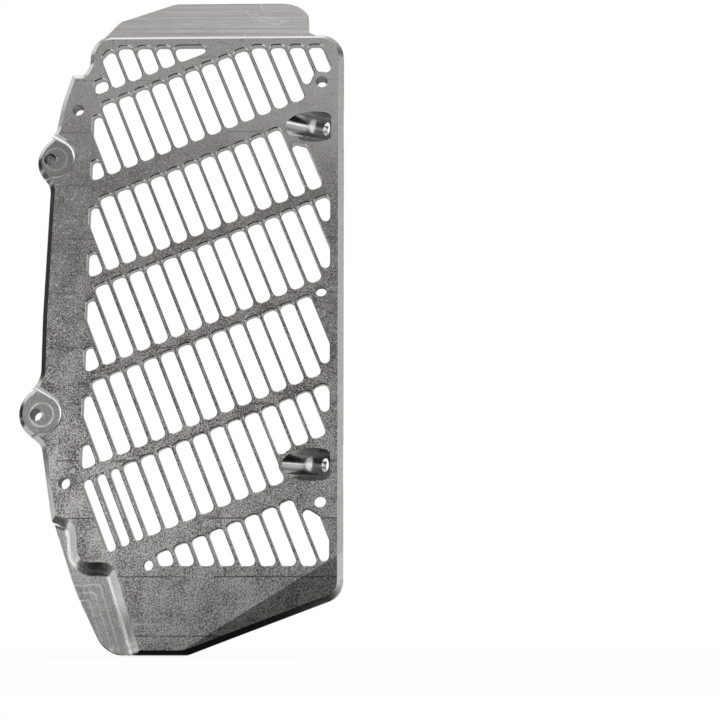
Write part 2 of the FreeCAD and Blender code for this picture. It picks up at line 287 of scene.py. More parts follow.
def spread(tree, at, value, from_low, from_high, to_low=0.0, to_high=1.0, smooth=False):
    """A value spread from one range to another."""
    settings = {"interpolation_type": "SMOOTHSTEP" if smooth else "LINEAR"}
    values = {"Value": value, "From Min": from_low, "From Max": from_high, "To Min": to_low, "To Max": to_high}
    return put(tree, "ShaderNodeMapRange", at, settings, **values).outputs[0]


def blended(tree, at, factor, first, second):
    """Colour between two colours."""
    node = put(tree, "ShaderNodeMix", at, {"data_type": "RGBA"})
    for index, value in ((0, factor), (6, first), (7, second)):
        if isinstance(value, bpy.types.NodeSocket):
            tree.links.new(value, node.inputs[index])
        elif index:
            node.inputs[index].default_value = (*value, 1.0)
        else:
            node.inputs[index].default_value = value
    return node.outputs[2]


def toned(colour, share):
    """A share of a colour."""
    return tuple(share * value for value in colour)


def new_group(name, inputs, outputs):
    """Empty shader node group with named inputs and outputs: its tree, and its two ends."""
    tree = bpy.data.node_groups.new(name, "ShaderNodeTree")
    for label, default in inputs:
        kind = "NodeSocketVector" if default is None else "NodeSocketFloat"
        socket = tree.interface.new_socket(label, in_out="INPUT", socket_type=kind)
        if default is not None:
            socket.default_value = default
    for label in outputs:
        tree.interface.new_socket(label, in_out="OUTPUT", socket_type="NodeSocketFloat")
    start = put(tree, "NodeGroupInput", (-6, 0))
    end = put(tree, "NodeGroupOutput", (6, 0))
    return tree, start, end


def placed(tree, group, at, **values):
    """A node group placed in a material, with its own values."""
    return put(tree, "ShaderNodeGroup", at, {"node_tree": group}, **values)


# Effects that several finishes share

def grain_group():
    """Mottled grain of a face-milled plate: coarse cells broken by fine ones, broad patches, and bright specks
    that are painted glints.
    """
    tree, start, end = new_group(
        "guard_grain", [("Vector", None), ("Size", 0.001), ("Contrast", 1.0)], ["Shade", "Height", "Specks"])
    where, size, contrast = start.outputs[0], start.outputs[1], start.outputs[2]
    rate = calculate(tree, (-5, 1), "DIVIDE", 1.0, size)
    total = 0.0
    for index, (share, detail, roughness, distortion, weight) in enumerate(GRAIN_LAYERS):
        row = 2 - 2 * index
        own_rate = calculate(tree, (-4, row), "MULTIPLY", rate, share)
        noise = put(tree, "ShaderNodeTexNoise", (-3, row), Vector=where, Scale=own_rate, Detail=detail,
                    Roughness=roughness, Distortion=distortion)
        total = calculate(tree, (index - 2, row), "MULTIPLY_ADD", noise.outputs[0], weight, total)
    level = calculate(tree, (1, 1), "SUBTRACT", total, sum(layer[-1] for layer in GRAIN_LAYERS) / 2)
    strong = calculate(tree, (1, 0), "MULTIPLY", level, GRAIN_GAIN)
    wide = calculate(tree, (2, 0), "MULTIPLY", strong, contrast)
    shade = calculate(tree, (3, 0), "ADD", wide, 0.5, clamp=True)
    crisp_rate = calculate(tree, (-5, -5), "MULTIPLY", rate, SPECK_RATE)
    crisp = put(tree, "ShaderNodeTexNoise", (-4, -5), Vector=where, Scale=crisp_rate, Detail=1.0, Roughness=0.5)
    specks = spread(tree, (-2, -5), crisp.outputs[0], *SPECK_LEVELS, smooth=True)
    tree.links.new(shade, end.inputs[0])
    tree.links.new(total, end.inputs[1])
    tree.links.new(specks, end.inputs[2])
    return tree


def brush_group():
    """Fine parallel lines left by a cutter: noise that is stretched along one direction of its vector (X)."""
    tree, start, end = new_group(
        "guard_brush", [("Vector", None), ("Pitch", 0.0006), ("Contrast", 1.0)], ["Shade", "Height"])
    rate = calculate(tree, (-5, 1), "DIVIDE", 1.0, start.outputs[1])
    long_way = put(tree, "ShaderNodeMapping", (-4, 2), Vector=start.outputs[0], Scale=(LINE_STRETCH, 1.0, 1.0))
    lines = put(tree, "ShaderNodeTexNoise", (-3, 2), Vector=long_way.outputs[0], Scale=rate, Detail=4.0,
                Roughness=0.75)
    patchy = put(tree, "ShaderNodeTexNoise", (-3, -1), Vector=start.outputs[0], Scale=PATCH_RATE, Detail=2.0)
    level = calculate(tree, (-2, 1), "SUBTRACT", lines.outputs[0], 0.5)
    amount = spread(tree, (-2, -1), patchy.outputs[0], *PATCH_LEVELS, *PATCH_GAIN)
    strong = calculate(tree, (-1, 0), "MULTIPLY", level, amount)
    wide = calculate(tree, (0, 0), "MULTIPLY", strong, start.outputs[2])
    shade = calculate(tree, (1, 0), "ADD", wide, 0.5, clamp=True)
    tree.links.new(shade, end.inputs[0])
    tree.links.new(lines.outputs[0], end.inputs[1])
    return tree


def scratch_group():
    """Hairline scratches: the level lines of stretched noise, cut into short lengths by a second noise."""
    tree, start, end = new_group("guard_scratch", [("Vector", None), ("Amount", 0.5)], ["Mask"])
    masks = []
    for index, (turn, rate, stretch) in enumerate(SCRATCHES):
        row = 3 - 3 * index
        turned = put(tree, "ShaderNodeMapping", (-5, row), Vector=start.outputs[0],
                     Rotation=(0.0, turn, 0.0), Location=(0.3 * index, 0.0, 0.7 * index))
        drawn = put(tree, "ShaderNodeMapping", (-4, row), Vector=turned.outputs[0], Scale=(stretch, 1.0, 1.0))
        field = put(tree, "ShaderNodeTexNoise", (-3, row), Vector=drawn.outputs[0], Scale=rate, Detail=1.0)
        gap = calculate(tree, (-2, row), "SUBTRACT", field.outputs[0], 0.5)
        gap = calculate(tree, (-1, row), "ABSOLUTE", gap)
        line = spread(tree, (0, row), gap, 0.0, SCRATCH_REACH, 1.0, 0.0, smooth=True)
        pieces = put(tree, "ShaderNodeTexNoise", (-3, row - 1), Vector=turned.outputs[0],
                     Scale=rate * LENGTH_RATE, Detail=1.0)
        shown = spread(tree, (0, row - 1), pieces.outputs[0], *LENGTH_LEVELS, smooth=True)
        masks.append(calculate(tree, (1, row), "MULTIPLY", line, shown))
    total = calculate(tree, (2, 1), "MAXIMUM", masks[0], masks[1])
    total = calculate(tree, (3, 0), "MAXIMUM", total, masks[2])
    shown = calculate(tree, (4, 0), "MULTIPLY", total, start.outputs[1])
    tree.links.new(shown, end.inputs[0])
    return tree


def pass_group():
    """Steps between the face mill's passes: a thin line at every Spacing of height, fading in and out."""
    tree, start, end = new_group(
        "guard_pass", [("Vector", None), ("Spacing", 0.0254), ("Start", 0.0), ("Width", 0.0004)],
        ["Line", "Band"])
    height = put(tree, "ShaderNodeSeparateXYZ", (-5, 1), i0=start.outputs[0]).outputs[2]
    risen = calculate(tree, (-4, 1), "SUBTRACT", height, start.outputs[2])
    count = calculate(tree, (-3, 1), "DIVIDE", risen, start.outputs[1])
    nearest = calculate(tree, (-2, 1), "ROUND", count)
    gap = calculate(tree, (-1, 1), "SUBTRACT", count, nearest)
    gap = calculate(tree, (0, 1), "ABSOLUTE", gap)
    gap = calculate(tree, (1, 1), "MULTIPLY", gap, start.outputs[1])
    near = calculate(tree, (2, 1), "DIVIDE", gap, start.outputs[3])
    line = spread(tree, (3, 1), near, 0.4, 1.0, 1.0, 0.0, smooth=True)
    wear = put(tree, "ShaderNodeTexNoise", (1, -1), Vector=start.outputs[0], Scale=PASS_WEAR_RATE, Detail=2.0)
    kept = spread(tree, (3, -1), wear.outputs[0], *PASS_WEAR_LEVELS, smooth=True)
    line = calculate(tree, (4, 1), "MULTIPLY", line, kept)
    number = calculate(tree, (-2, -2), "FLOOR", count)
    band = put(tree, "ShaderNodeTexWhiteNoise", (-1, -2), {"noise_dimensions": "1D"}, W=number)
    tree.links.new(line, end.inputs[0])
    tree.links.new(band.outputs[0], end.inputs[1])
    return tree


def run_group():
    """Distance in front view from a straight run: the point minus its nearest point on the run from A to B."""
    tree, start, end = new_group("guard_run", [("Vector", None), ("A", None), ("B", None)], ["Distance"])
    flat = put(tree, "ShaderNodeVectorMath", (-5, 2), {"operation": "MULTIPLY"}, i0=start.outputs[0],
               i1=(1.0, 0.0, 1.0)).outputs[0]
    along = put(tree, "ShaderNodeVectorMath", (-5, 0), {"operation": "SUBTRACT"}, i0=start.outputs[2],
                i1=start.outputs[1]).outputs[0]
    away = put(tree, "ShaderNodeVectorMath", (-4, 2), {"operation": "SUBTRACT"}, i0=flat,
               i1=start.outputs[1]).outputs[0]
    reach = put(tree, "ShaderNodeVectorMath", (-3, 1), {"operation": "DOT_PRODUCT"}, i0=away,
                i1=along).outputs["Value"]
    whole = put(tree, "ShaderNodeVectorMath", (-3, -1), {"operation": "DOT_PRODUCT"}, i0=along,
                i1=along).outputs["Value"]
    share = calculate(tree, (-2, 0), "DIVIDE", reach, whole, clamp=True)
    near = put(tree, "ShaderNodeVectorMath", (-1, 0), {"operation": "SCALE"}, i0=along, Scale=share).outputs[0]
    gap = put(tree, "ShaderNodeVectorMath", (0, 1), {"operation": "SUBTRACT"}, i0=away, i1=near).outputs[0]
    length = put(tree, "ShaderNodeVectorMath", (1, 1), {"operation": "LENGTH"}, i0=gap).outputs["Value"]
    tree.links.new(length, end.inputs[0])
    return tree


def cusp_group():
    """Light cusp between two cutter passes: a thin line at every whole number of passes, worn in places."""
    tree, start, end = new_group("guard_cusp", [("Vector", None), ("Passes", 0.0), ("Width", 0.05)], ["Line"])
    nearest = calculate(tree, (-4, 1), "ROUND", start.outputs[1])
    nearest = calculate(tree, (-3, 1), "MAXIMUM", nearest, 1.0)
    gap = calculate(tree, (-2, 1), "SUBTRACT", start.outputs[1], nearest)
    gap = calculate(tree, (-1, 1), "ABSOLUTE", gap)
    near = calculate(tree, (0, 1), "DIVIDE", gap, start.outputs[2])
    line = spread(tree, (1, 1), near, 0.3, 1.0, 1.0, 0.0, smooth=True)
    wear = put(tree, "ShaderNodeTexNoise", (-1, -1), Vector=start.outputs[0], Scale=CUSP_WEAR_RATE, Detail=2.0)
    kept = spread(tree, (1, -1), wear.outputs[0], *CUSP_WEAR_LEVELS, CUSP_LEFT, 1.0, smooth=True)
    tree.links.new(calculate(tree, (2, 0), "MULTIPLY", line, kept), end.inputs[0])
    return tree


# Finishes

def finish(name, roughness):
    """New metal material: its tree, its Principled BSDF and its Object coordinates."""
    material = bpy.data.materials.new(name)
    material.use_nodes = True
    tree = material.node_tree
    tree.nodes.clear()
    metal = put(tree, "ShaderNodeBsdfPrincipled", (8, 0), Metallic=1.0, Roughness=roughness)
    out = put(tree, "ShaderNodeOutputMaterial", (10, 0))
    tree.links.new(metal.outputs[0], out.inputs[0])
    where = put(tree, "ShaderNodeTexCoord", (-9, 0)).outputs["Object"]
    return material, tree, metal, where


def pressed(tree, at, metal, height, strength, distance):
    """Height pressed into the surface of a metal."""
    bump = put(tree, "ShaderNodeBump", at, Strength=strength, Distance=distance, Height=height)
    tree.links.new(bump.outputs[0], metal.inputs["Normal"])


def face_finish(groups, look):
    """Face-milled plate: grain that gets stronger downwards, pass lines and hairline scratches.

    It is painted lightest along the top, darkest at mid height and lighter again in the bottom quarter:
    this is painted light and shade, not a tone of the metal.
    """
    material, tree, metal, where = finish("guard_face", 0.4)
    across, _, height = put(tree, "ShaderNodeSeparateXYZ", (-8, -3), i0=where).outputs
    low = spread(tree, (-7, -3), height, *GRAIN_SPAN_Z, smooth=True)
    bottom = spread(tree, (-7, -5), height, *LIT_BOTTOM_SPAN_Z, smooth=True)
    slanted = calculate(tree, (-7, -7), "MULTIPLY_ADD", across, LIT_TOP_SLOPE, height)
    top = spread(tree, (-6, -7), slanted, *LIT_TOP_SPAN_Z, smooth=True)
    # Partly painted light: the grain is the plate's own, but its contrast is painted stronger downwards in place
    # of the flecks of light that the lower plate reflects
    contrast = spread(tree, (-6, -3), low, 0.0, 1.0, 0.6, 2.3)
    grain = placed(tree, groups["grain"], (-4, 1), Vector=where, Size=look.grain_size, Contrast=contrast)
    scratch = placed(tree, groups["scratch"], (-4, -1), Vector=where, Amount=0.95)
    steps = placed(tree, groups["pass"], (-4, -4), Vector=where, Spacing=look.pass_spacing,
                   Start=PASS_Z, Width=PASS_WIDTH)
    middle = calculate(tree, (-2, -4), "MULTIPLY_ADD", steps.outputs[1], 0.06, -0.03)
    shade = calculate(tree, (-1, 1), "ADD", grain.outputs[0], middle)
    # Painted light and shade: the plate is painted lighter in the bottom quarter and along its top, darkest at
    # mid height; the pass lines below are also drawn fainter under the painted top light
    painted_light = spread(tree, (-2, -2), bottom, 0.0, 1.0, -0.15, 0.08)
    painted_light = calculate(tree, (-1, -2), "MULTIPLY_ADD", top, 0.72, painted_light)
    shade = calculate(tree, (0, 1), "ADD", shade, painted_light, clamp=True)
    colour = blended(tree, (2, 2), shade, look.face_dark, look.face_light)
    # The bright specks are painted glints: light caught by the plate's grain, painted into its colour
    specks = calculate(tree, (2, 0), "MULTIPLY", grain.outputs["Specks"], 0.9)
    marks = calculate(tree, (3, 0), "MAXIMUM", specks, scratch.outputs[0])
    colour = blended(tree, (3, 2), marks, colour, GLINT)
    depth = spread(tree, (0, -5), low, 0.0, 1.0, 0.5, 0.85)
    depth = calculate(tree, (1, -5), "MULTIPLY_ADD", top, -0.3, depth)
    line = calculate(tree, (2, -3), "MULTIPLY", steps.outputs[0], depth)
    colour = blended(tree, (5, 2), line, colour, PASS_COLOUR)
    tree.links.new(colour, metal.inputs["Base Color"])
    rough = spread(tree, (3, -1), shade, 0.0, 1.0, 0.5, 0.36)
    rough = calculate(tree, (5, 0), "MULTIPLY_ADD", marks, -0.12, rough)
    tree.links.new(rough, metal.inputs["Roughness"])
    pressed(tree, (6, -2), metal, grain.outputs[1], 0.35, 0.00012)
    return material


def tab_finish(groups, look):
    """Tab planed in long level strokes, lighter than the plate."""
    material, tree, metal, where = finish("guard_tab", 0.36)
    brush = placed(tree, groups["brush"], (-4, 1), Vector=where, Pitch=0.0011, Contrast=0.4)
    grain = placed(tree, groups["grain"], (-4, -1), Vector=where, Size=look.grain_size, Contrast=0.25)
    scratch = placed(tree, groups["scratch"], (-4, -3), Vector=where, Amount=0.35)
    shade = calculate(tree, (-1, 0), "MULTIPLY_ADD", brush.outputs[0], 0.6, -0.14)
    shade = calculate(tree, (0, 0), "MULTIPLY_ADD", grain.outputs[0], 0.4, shade, clamp=True)
    colour = blended(tree, (2, 1), shade, look.face_dark, look.face_light)
    colour = blended(tree, (4, 1), scratch.outputs[0], colour, look.edge_colour)
    tree.links.new(colour, metal.inputs["Base Color"])
    rough = spread(tree, (4, -1), shade, 0.0, 1.0, 0.45, 0.32)
    tree.links.new(rough, metal.inputs["Roughness"])
    pressed(tree, (6, -2), metal, brush.outputs[1], 0.3, 0.0001)
    return material


def cut_finish(name, groups, look, pitch, contrast, rough, shares, bump, tint=1.0, turn=(0.0, 0.0, 0.0)):
    """Fresh cut with fine tool lines along one direction: walls, bevels, fillets, bores and holes.

    The roughness and the share of the cut colour are given for the dark lines and for the light ones. Shares
    above 1 paint fillets and bores lighter as painted highlight, and the holes' small shares are painted shade.
    """
    material, tree, metal, where = finish(name, rough[1])
    metal.inputs["Specular Tint"].default_value = (tint, tint, tint, 1.0)
    turned = put(tree, "ShaderNodeMapping", (-7, 0), Vector=where, Rotation=turn)
    brush = placed(tree, groups["brush"], (-4, 1), Vector=turned.outputs[0], Pitch=pitch, Contrast=contrast)
    grain = placed(tree, groups["grain"], (-4, -1), Vector=where, Size=look.grain_size * 0.8, Contrast=0.5)
    shade = calculate(tree, (-1, 0), "MULTIPLY_ADD", brush.outputs[0], 0.7, 0.0)
    shade = calculate(tree, (0, 0), "MULTIPLY_ADD", grain.outputs[0], 0.4, shade, clamp=True)
    colour = blended(tree, (3, 1), shade, *(toned(look.cut_colour, share) for share in shares))
    tree.links.new(colour, metal.inputs["Base Color"])
    tree.links.new(spread(tree, (3, -1), shade, 0.0, 1.0, *rough), metal.inputs["Roughness"])
    pressed(tree, (6, -2), metal, brush.outputs[1], bump, 0.00008)
    return material


def pocket_finish(groups, look):
    """Sunk floors: tool lines and grain, with the light cusps that the cutter's passes leave along the walls.

    On a round recess the passes are counted by the distance inwards from its circle, on the stepped corner
    by the distance inwards from its wall, the smooth least of the distances from the rim's straight runs.
    """
    material, tree, metal, where = finish("guard_pocket", 0.36)
    turned = put(tree, "ShaderNodeMapping", (-7, 3), Vector=where, Rotation=(0.0, STROKE_TURN, 0.0))
    brush = placed(tree, groups["brush"], (-4, 3), Vector=turned.outputs[0], Pitch=0.0013, Contrast=1.0)
    grain = placed(tree, groups["grain"], (-4, 1), Vector=where, Size=look.grain_size, Contrast=1.9)
    height = put(tree, "ShaderNodeSeparateXYZ", (-8, -3), i0=where).outputs[2]
    in_step = calculate(tree, (-7, -3), "LESS_THAN", height, STEP_TOP_Z)
    flat = put(tree, "ShaderNodeVectorMath", (-8, -1), {"operation": "MULTIPLY"}, i0=where, i1=(1.0, 0.0, 1.0))
    radii = [put(tree, "ShaderNodeVectorMath", (-7, -5 - index), {"operation": "DISTANCE"}, i0=flat.outputs[0],
                 i1=(x + RECESS_SHIFT, 0.0, z)).outputs["Value"] for index, (x, z) in enumerate(LOBES)]
    radius = calculate(tree, (-6, -5), "MINIMUM", *radii)
    inwards = calculate(tree, (-5, -5), "SUBTRACT", RECESS_R, radius)
    rings = calculate(tree, (-4, -5), "DIVIDE", inwards, RECESS_PASS)
    distance = 1.0
    for index, ((x, z), (next_x, next_z)) in enumerate(zip(STEP_RIM, STEP_RIM[1:])):
        away = placed(tree, groups["run"], (-7, -8 - index), Vector=where, A=(x, 0.0, z), B=(next_x, 0.0, next_z))
        distance = calculate(tree, (-6 + index, -8), "SMOOTH_MIN", away.outputs[0], distance, STEP_ROUNDING)
    inwards = calculate(tree, (-2, -8), "SUBTRACT", distance, STEP_WALL)
    strips = calculate(tree, (-1, -8), "DIVIDE", inwards, STEP_PASS)
    passes = put(tree, "ShaderNodeMix", (0, -5), {"data_type": "FLOAT"}, i0=in_step, i2=rings, i3=strips)
    cusp = placed(tree, groups["cusp"], (1, -5), Vector=where, Passes=passes.outputs[0], Width=0.15)
    shade = calculate(tree, (-1, 2), "MULTIPLY_ADD", brush.outputs[0], 0.5, -0.05)
    shade = calculate(tree, (0, 2), "MULTIPLY_ADD", grain.outputs[0], 0.6, shade, clamp=True)
    # Painted light and shade from one cut colour: the round recesses' floors are painted darker, the stepped
    # corner's floor lighter
    round_floor = blended(tree, (2, 4), shade, toned(look.cut_colour, 0.4), toned(look.cut_colour, 0.8))
    step_floor = blended(tree, (2, 2), shade, toned(look.cut_colour, 0.55), toned(look.cut_colour, 1.36))
    colour = blended(tree, (3, 3), in_step, round_floor, step_floor)
    # Bright specks on the floors are painted glints, as on the plate
    specks = calculate(tree, (2, -3), "MULTIPLY", grain.outputs["Specks"], 0.4)
    marks = calculate(tree, (3, -4), "MAXIMUM", cusp.outputs[0], specks)
    colour = blended(tree, (5, 2), marks, colour, GLINT)
    tree.links.new(colour, metal.inputs["Base Color"])
    rough = spread(tree, (3, -1), shade, 0.0, 1.0, 0.46, 0.34)
    rough = calculate(tree, (5, -1), "MULTIPLY_ADD", marks, -0.1, rough)
    tree.links.new(rough, metal.inputs["Roughness"])
    pressed(tree, (6, -2), metal, grain.outputs[1], 0.35, 0.0001)
    return material


def edge_finish(groups, look):
    """Broken edge, bright where it is rubbed and dull where dirt stays."""
    material, tree, metal, where = finish("guard_edge", 0.2)
    grain = placed(tree, groups["grain"], (-4, 1), Vector=where, Size=look.grain_size * 1.6, Contrast=1.2)
    colour = blended(tree, (3, 1), grain.outputs[0], toned(look.edge_colour, 0.62), look.edge_colour)
    tree.links.new(colour, metal.inputs["Base Color"])
    rough = spread(tree, (3, -1), grain.outputs[0], 0.0, 1.0, 0.32, 0.14)
    tree.links.new(rough, metal.inputs["Roughness"])
    pressed(tree, (6, -2), metal, grain.outputs[1], 0.3, 0.00006)
    return material


# The guard's surface

def crease_edges(bm, normals):
    """Edges where the surface really turns: the model's own normals differ on the two sides.

    The short flats that stand for the slots' round corners meet at such edges too, and stay smooth.
    """
    creases = []
    for edge in bm.edges:
        if len(edge.link_loops) != 2:
            continue
        first, second = edge.link_loops
        turned = 0.0
        for corner, other in ((first, second.link_loop_next), (first.link_loop_next, second)):
            one, two = corner[normals], other[normals]
            if one.length > 0.5 and two.length > 0.5:
                turned = max(turned, one.angle(two, 0.0))
        if turned < CREASE_TURN:
            continue
        sides = [face.normal for face in edge.link_faces]
        tilted = max(abs(side.y) for side in sides)
        if tilted < STRAIGHT and sides[0].angle(sides[1], 0.0) < WALL_TURN:
            continue
        creases.append(edge)
    return creases


def narrow(face):
    """Whether a face is a sliver, such as the riser of a shallow cutter pass."""
    return face.calc_area() < SLIVER_WIDTH * max(edge.calc_length() for edge in face.edges)


def near_bore(place):
    """Whether a place is in or beside an angled bore, whose rims stay sharp."""
    left, right = BORE_SPAN_X
    return left < place.x < right and min(abs(place.z - z) for z in BORES_Z) < BORE_REACH_Z


def near_any(place, spots, reach):
    """Whether a place is within reach of one of these spots (x, z), in front view."""
    return any((place.x - x) ** 2 + (place.z - z) ** 2 < reach ** 2 for x, z in spots)


def finish_of(face):
    """Which finish a face of the guard has, from where it lies and which way it looks."""
    normal = face.normal
    tilt = abs(normal.y)
    middle = face.calc_center_median()
    beyond_plate = middle.z > PLATE_TOP_Z and middle.y > FRONT_Y + TAB_BACK
    if beyond_plate and TAB_TILT[0] < tilt < TAB_TILT[1] and abs(normal.x) < SIDEWAYS:
        return TAB
    if near_bore(middle) and tilt < SQUARE:
        along = abs(normal.dot(BORE_AXIS))
        if along > SQUARE:
            return WALL
        if along < ROUND_WALL:
            nearest = min(BORES_Z, key=lambda z: abs(middle.z - z))
            outwards = middle - BORE_SEAT - Vector((0.0, 0.0, nearest))
            return WALL if outwards.dot(normal) > 0 else BORE
    in_lobe = near_any(middle, LOBES, LOBE_REACH)
    in_step = middle.z < STEP_TOP_Z and middle.x < STEP_SIDE_X
    if (in_lobe or in_step) and middle.y > FRONT_Y + SUNK:
        if normal.y < -SQUARE:
            return POCKET
        if FILLET_TILT < tilt < SQUARE:
            bevelled = BEVEL_TILT[0] < -normal.y < BEVEL_TILT[1]
            return BEVEL if bevelled and (in_lobe or middle.y < FRONT_Y + STEP_CHAMFER) else FILLET
    if normal.y < -SQUARE or normal.y > BACKWARDS:
        return FACE
    if tilt < UPRIGHT:
        return HOLE if near_any(middle, HOLES, HOLE_REACH) else WALL
    return BEVEL


def unit(vectors):
    """Rows scaled to length 1; rows of no length stay as they are."""
    lengths = np.linalg.norm(vectors, axis=1, keepdims=True)
    return vectors / np.where(lengths > 1e-9, lengths, 1.0)


def gathered(index, count, vectors):
    """Sum of the rows that share an index."""
    return np.stack([np.bincount(index, vectors[:, axis], count) for axis in range(3)], axis=1)


def values_of(items, name, kind=float, width=1):
    """One property of all items as an array, with a row for each item where the width is more than 1."""
    values = np.empty(len(items) * width, kind)
    items.foreach_get(name, values)
    return values.reshape(-1, width) if width > 1 else values


def set_shading(mesh):
    """Shading normals of the finished surface.

    A face of the model keeps the model's own normal, and walls that meet at a slight turn share one,
    weighted by area. The flats of a broken edge share one along the edge.
    """
    sides = values_of(mesh.polygons, "loop_total", np.int32)
    owner = np.repeat(np.arange(len(sides)), sides)
    flat = values_of(mesh.polygons, "normal", width=3)[owner]
    weighted = flat * values_of(mesh.polygons, "area")[owner][:, None]
    broken = values_of(mesh.polygons, "material_index", np.int32)[owner] == EDGE
    point = values_of(mesh.loops, "vertex_index", np.int32)
    points = len(mesh.vertices)
    model = unit(values_of(mesh.attributes["model_normal"].data, "vector", width=3))
    astray = (model * flat).sum(1) < AGREEMENT
    normal = np.where(astray[:, None], flat, model)
    wall = ~broken & (np.abs(flat[:, 1]) < STRAIGHT)
    shared = unit(gathered(point[wall], points, weighted[wall]))[point]
    near = wall & ((shared * flat).sum(1) > math.cos(WALL_TURN))
    normal[near] = shared[near]
    own = unit(gathered(point[broken], points, weighted[broken]))[point]
    agrees = (own * flat).sum(1) > AGREEMENT
    normal[broken] = np.where(agrees[:, None], own, flat)[broken]
    mesh.polygons.foreach_set("use_smooth", np.ones(len(sides), bool))
    mesh.normals_split_custom_set(normal.tolist())


def gets_broken(edge):
    """Whether a crease is a sharp outer edge, away from slivers and angled bores."""
    if edge.calc_face_angle_signed(0.0) < BREAK_TURN or any(map(narrow, edge.link_faces)):
        return False
    return not near_bore((edge.verts[0].co + edge.verts[1].co) / 2)


def milled_surface(node, width):
    """Merged copy of a node's surface, with a flat of this width along its sharp outer edges."""
    mesh = node.data.copy()
    normals = values_of(mesh.corner_normals, "vector", width=3)
    mesh.attributes.new("model_normal", "FLOAT_VECTOR", "CORNER").data.foreach_set("vector", normals.ravel())
    bm = bmesh.new()
    bm.from_mesh(mesh)
    bmesh.ops.remove_doubles(bm, verts=bm.verts, dist=MERGE_DISTANCE)
    bmesh.ops.dissolve_limit(bm, angle_limit=FLAT_TURN, use_dissolve_boundaries=False,
                             verts=bm.verts, edges=bm.edges, delimit={"NORMAL"})
    bm.normal_update()
    for face in bm.faces:
        face.material_index = FACE
    creases = crease_edges(bm, bm.loops.layers.float_vector["model_normal"])
    edges = [edge for edge in creases if gets_broken(edge)]
    if width > 0:
        bmesh.ops.bevel(bm, geom=edges, offset=width, offset_type="OFFSET", segments=1, profile=0.5,
                        affect="EDGES", clamp_overlap=False, material=EDGE, loop_slide=False)
    bm.normal_update()
    for face in bm.faces:
        wide = face.calc_area() > FLAT_SHARE * width * max(edge.calc_length() for edge in face.edges)
        if face.material_index != EDGE or wide:
            face.material_index = finish_of(face)
    bmesh.ops.triangulate(bm, faces=[face for face in bm.faces if len(face.verts) > 4])
    clean = bpy.data.meshes.new("guard_milled")
    bm.to_mesh(clean)
    bm.free()
    set_shading(clean)
    clean.attributes.remove(clean.attributes["model_normal"])
    bpy.data.meshes.remove(mesh)
    return clean


class GUARD_OT_plate(bpy.types.Operator):
    """Give the guard its milled aluminium finish, with its sharp outer edges lightly broken"""
    bl_idname = "guard.plate"
    bl_label = "Finish Guard"

    def execute(self, context):
        look = context.scene.guard_finish
        groups = {"grain": grain_group(), "brush": brush_group(), "scratch": scratch_group(),
                  "pass": pass_group(), "run": run_group(), "cusp": cusp_group()}
        mesh = milled_surface(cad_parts["radiator_guard"], look.edge_width)
        piece = bpy.data.objects.new("guard_milled", mesh)
        context.scene.collection.objects.link(piece)
        for material in (
            face_finish(groups, look),
            tab_finish(groups, look),
            cut_finish("guard_wall", groups, look, pitch=0.0009, contrast=1.1, rough=(0.42, 0.26),
                       shares=(0.25, 0.75), bump=0.4, tint=0.6),
            cut_finish("guard_bevel", groups, look, pitch=0.0012, contrast=0.8, rough=(0.3, 0.18),
                       shares=(0.7, 1.0), bump=0.2),
            pocket_finish(groups, look),
            # Painted highlight: fillets take the cut colour at more than its full share, lighter than the other
            # cuts
            cut_finish("guard_fillet", groups, look, pitch=0.0012, contrast=0.4, rough=(0.32, 0.22),
                       shares=(1.15, 1.38), bump=0.15),
            # Painted light: bores take the cut colour at more than its full share, to light them up
            cut_finish("guard_bore", groups, look, pitch=0.0012, contrast=0.9, rough=(0.22, 0.13),
                       shares=(1.1, 1.38), bump=0.12, turn=(0.0, 0.0, BORE_TURN)),
            # Painted shade: hole walls are coloured nearly black, with a dimmed specular tint, as the shade
            # inside the holes
            cut_finish("guard_hole", groups, look, pitch=0.0007, contrast=2.4, rough=(0.3, 0.16),
                       shares=(0.02, 0.6), bump=0.5, tint=0.3),
            edge_finish(groups, look),
        ):
            mesh.materials.append(material)
        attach(piece, "root")
        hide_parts("radiator_guard")
        return {"FINISHED"}


# Studio

def floor_sheet(size, colour, height):
    """Square floor: the plane z = height over x and y from -size / 2 to size / 2."""
    half = size / 2
    mesh = bpy.data.meshes.new("studio_floor")
    mesh.from_pydata([(-half, -half, height), (half, -half, height), (half, half, height),
                      (-half, half, height)], [], [(0, 1, 2, 3)])
    material = bpy.data.materials.new("studio_floor")
    material.use_nodes = True
    tree = material.node_tree
    tree.nodes.clear()
    seen = put(tree, "ShaderNodeLightPath", (-4, 0))
    direct = calculate(tree, (-2, 0), "MAXIMUM", seen.outputs["Is Camera Ray"], seen.outputs["Is Glossy Ray"])
    direct = calculate(tree, (-1, 0), "MAXIMUM", direct, seen.outputs["Is Transmission Ray"])
    white = put(tree, "ShaderNodeEmission", (0, 1), Color=(1, 1, 1, 1), Strength=FLOOR_BRIGHTNESS)
    matt = put(tree, "ShaderNodeBsdfDiffuse", (0, -1), Color=(*colour, 1))
    share = calculate(tree, (0, 0), "MULTIPLY", direct, FLOOR_SHARE)
    mix = put(tree, "ShaderNodeMixShader", (2, 0), i0=share, i1=matt.outputs[0], i2=white.outputs[0])
    out = put(tree, "ShaderNodeOutputMaterial", (4, 0))
    tree.links.new(mix.outputs[0], out.inputs[0])
    mesh.materials.append(material)
    return bpy.data.objects.new("studio_floor", mesh)


def soft_light(name, place, target, size, power):
    """Soft light that looks at a point and isn't seen by the camera."""
    data = bpy.data.lights.new(name, "AREA")
    data.shape = "RECTANGLE"
    data.size, data.size_y = size
    data.energy = power
    light = bpy.data.objects.new(name, data)
    look = (Vector(target) - Vector(place)).to_track_quat("-Z", "Y").to_matrix().to_4x4()
    light.matrix_world = Matrix.Translation(place) @ look
    light.visible_camera = False
    return light


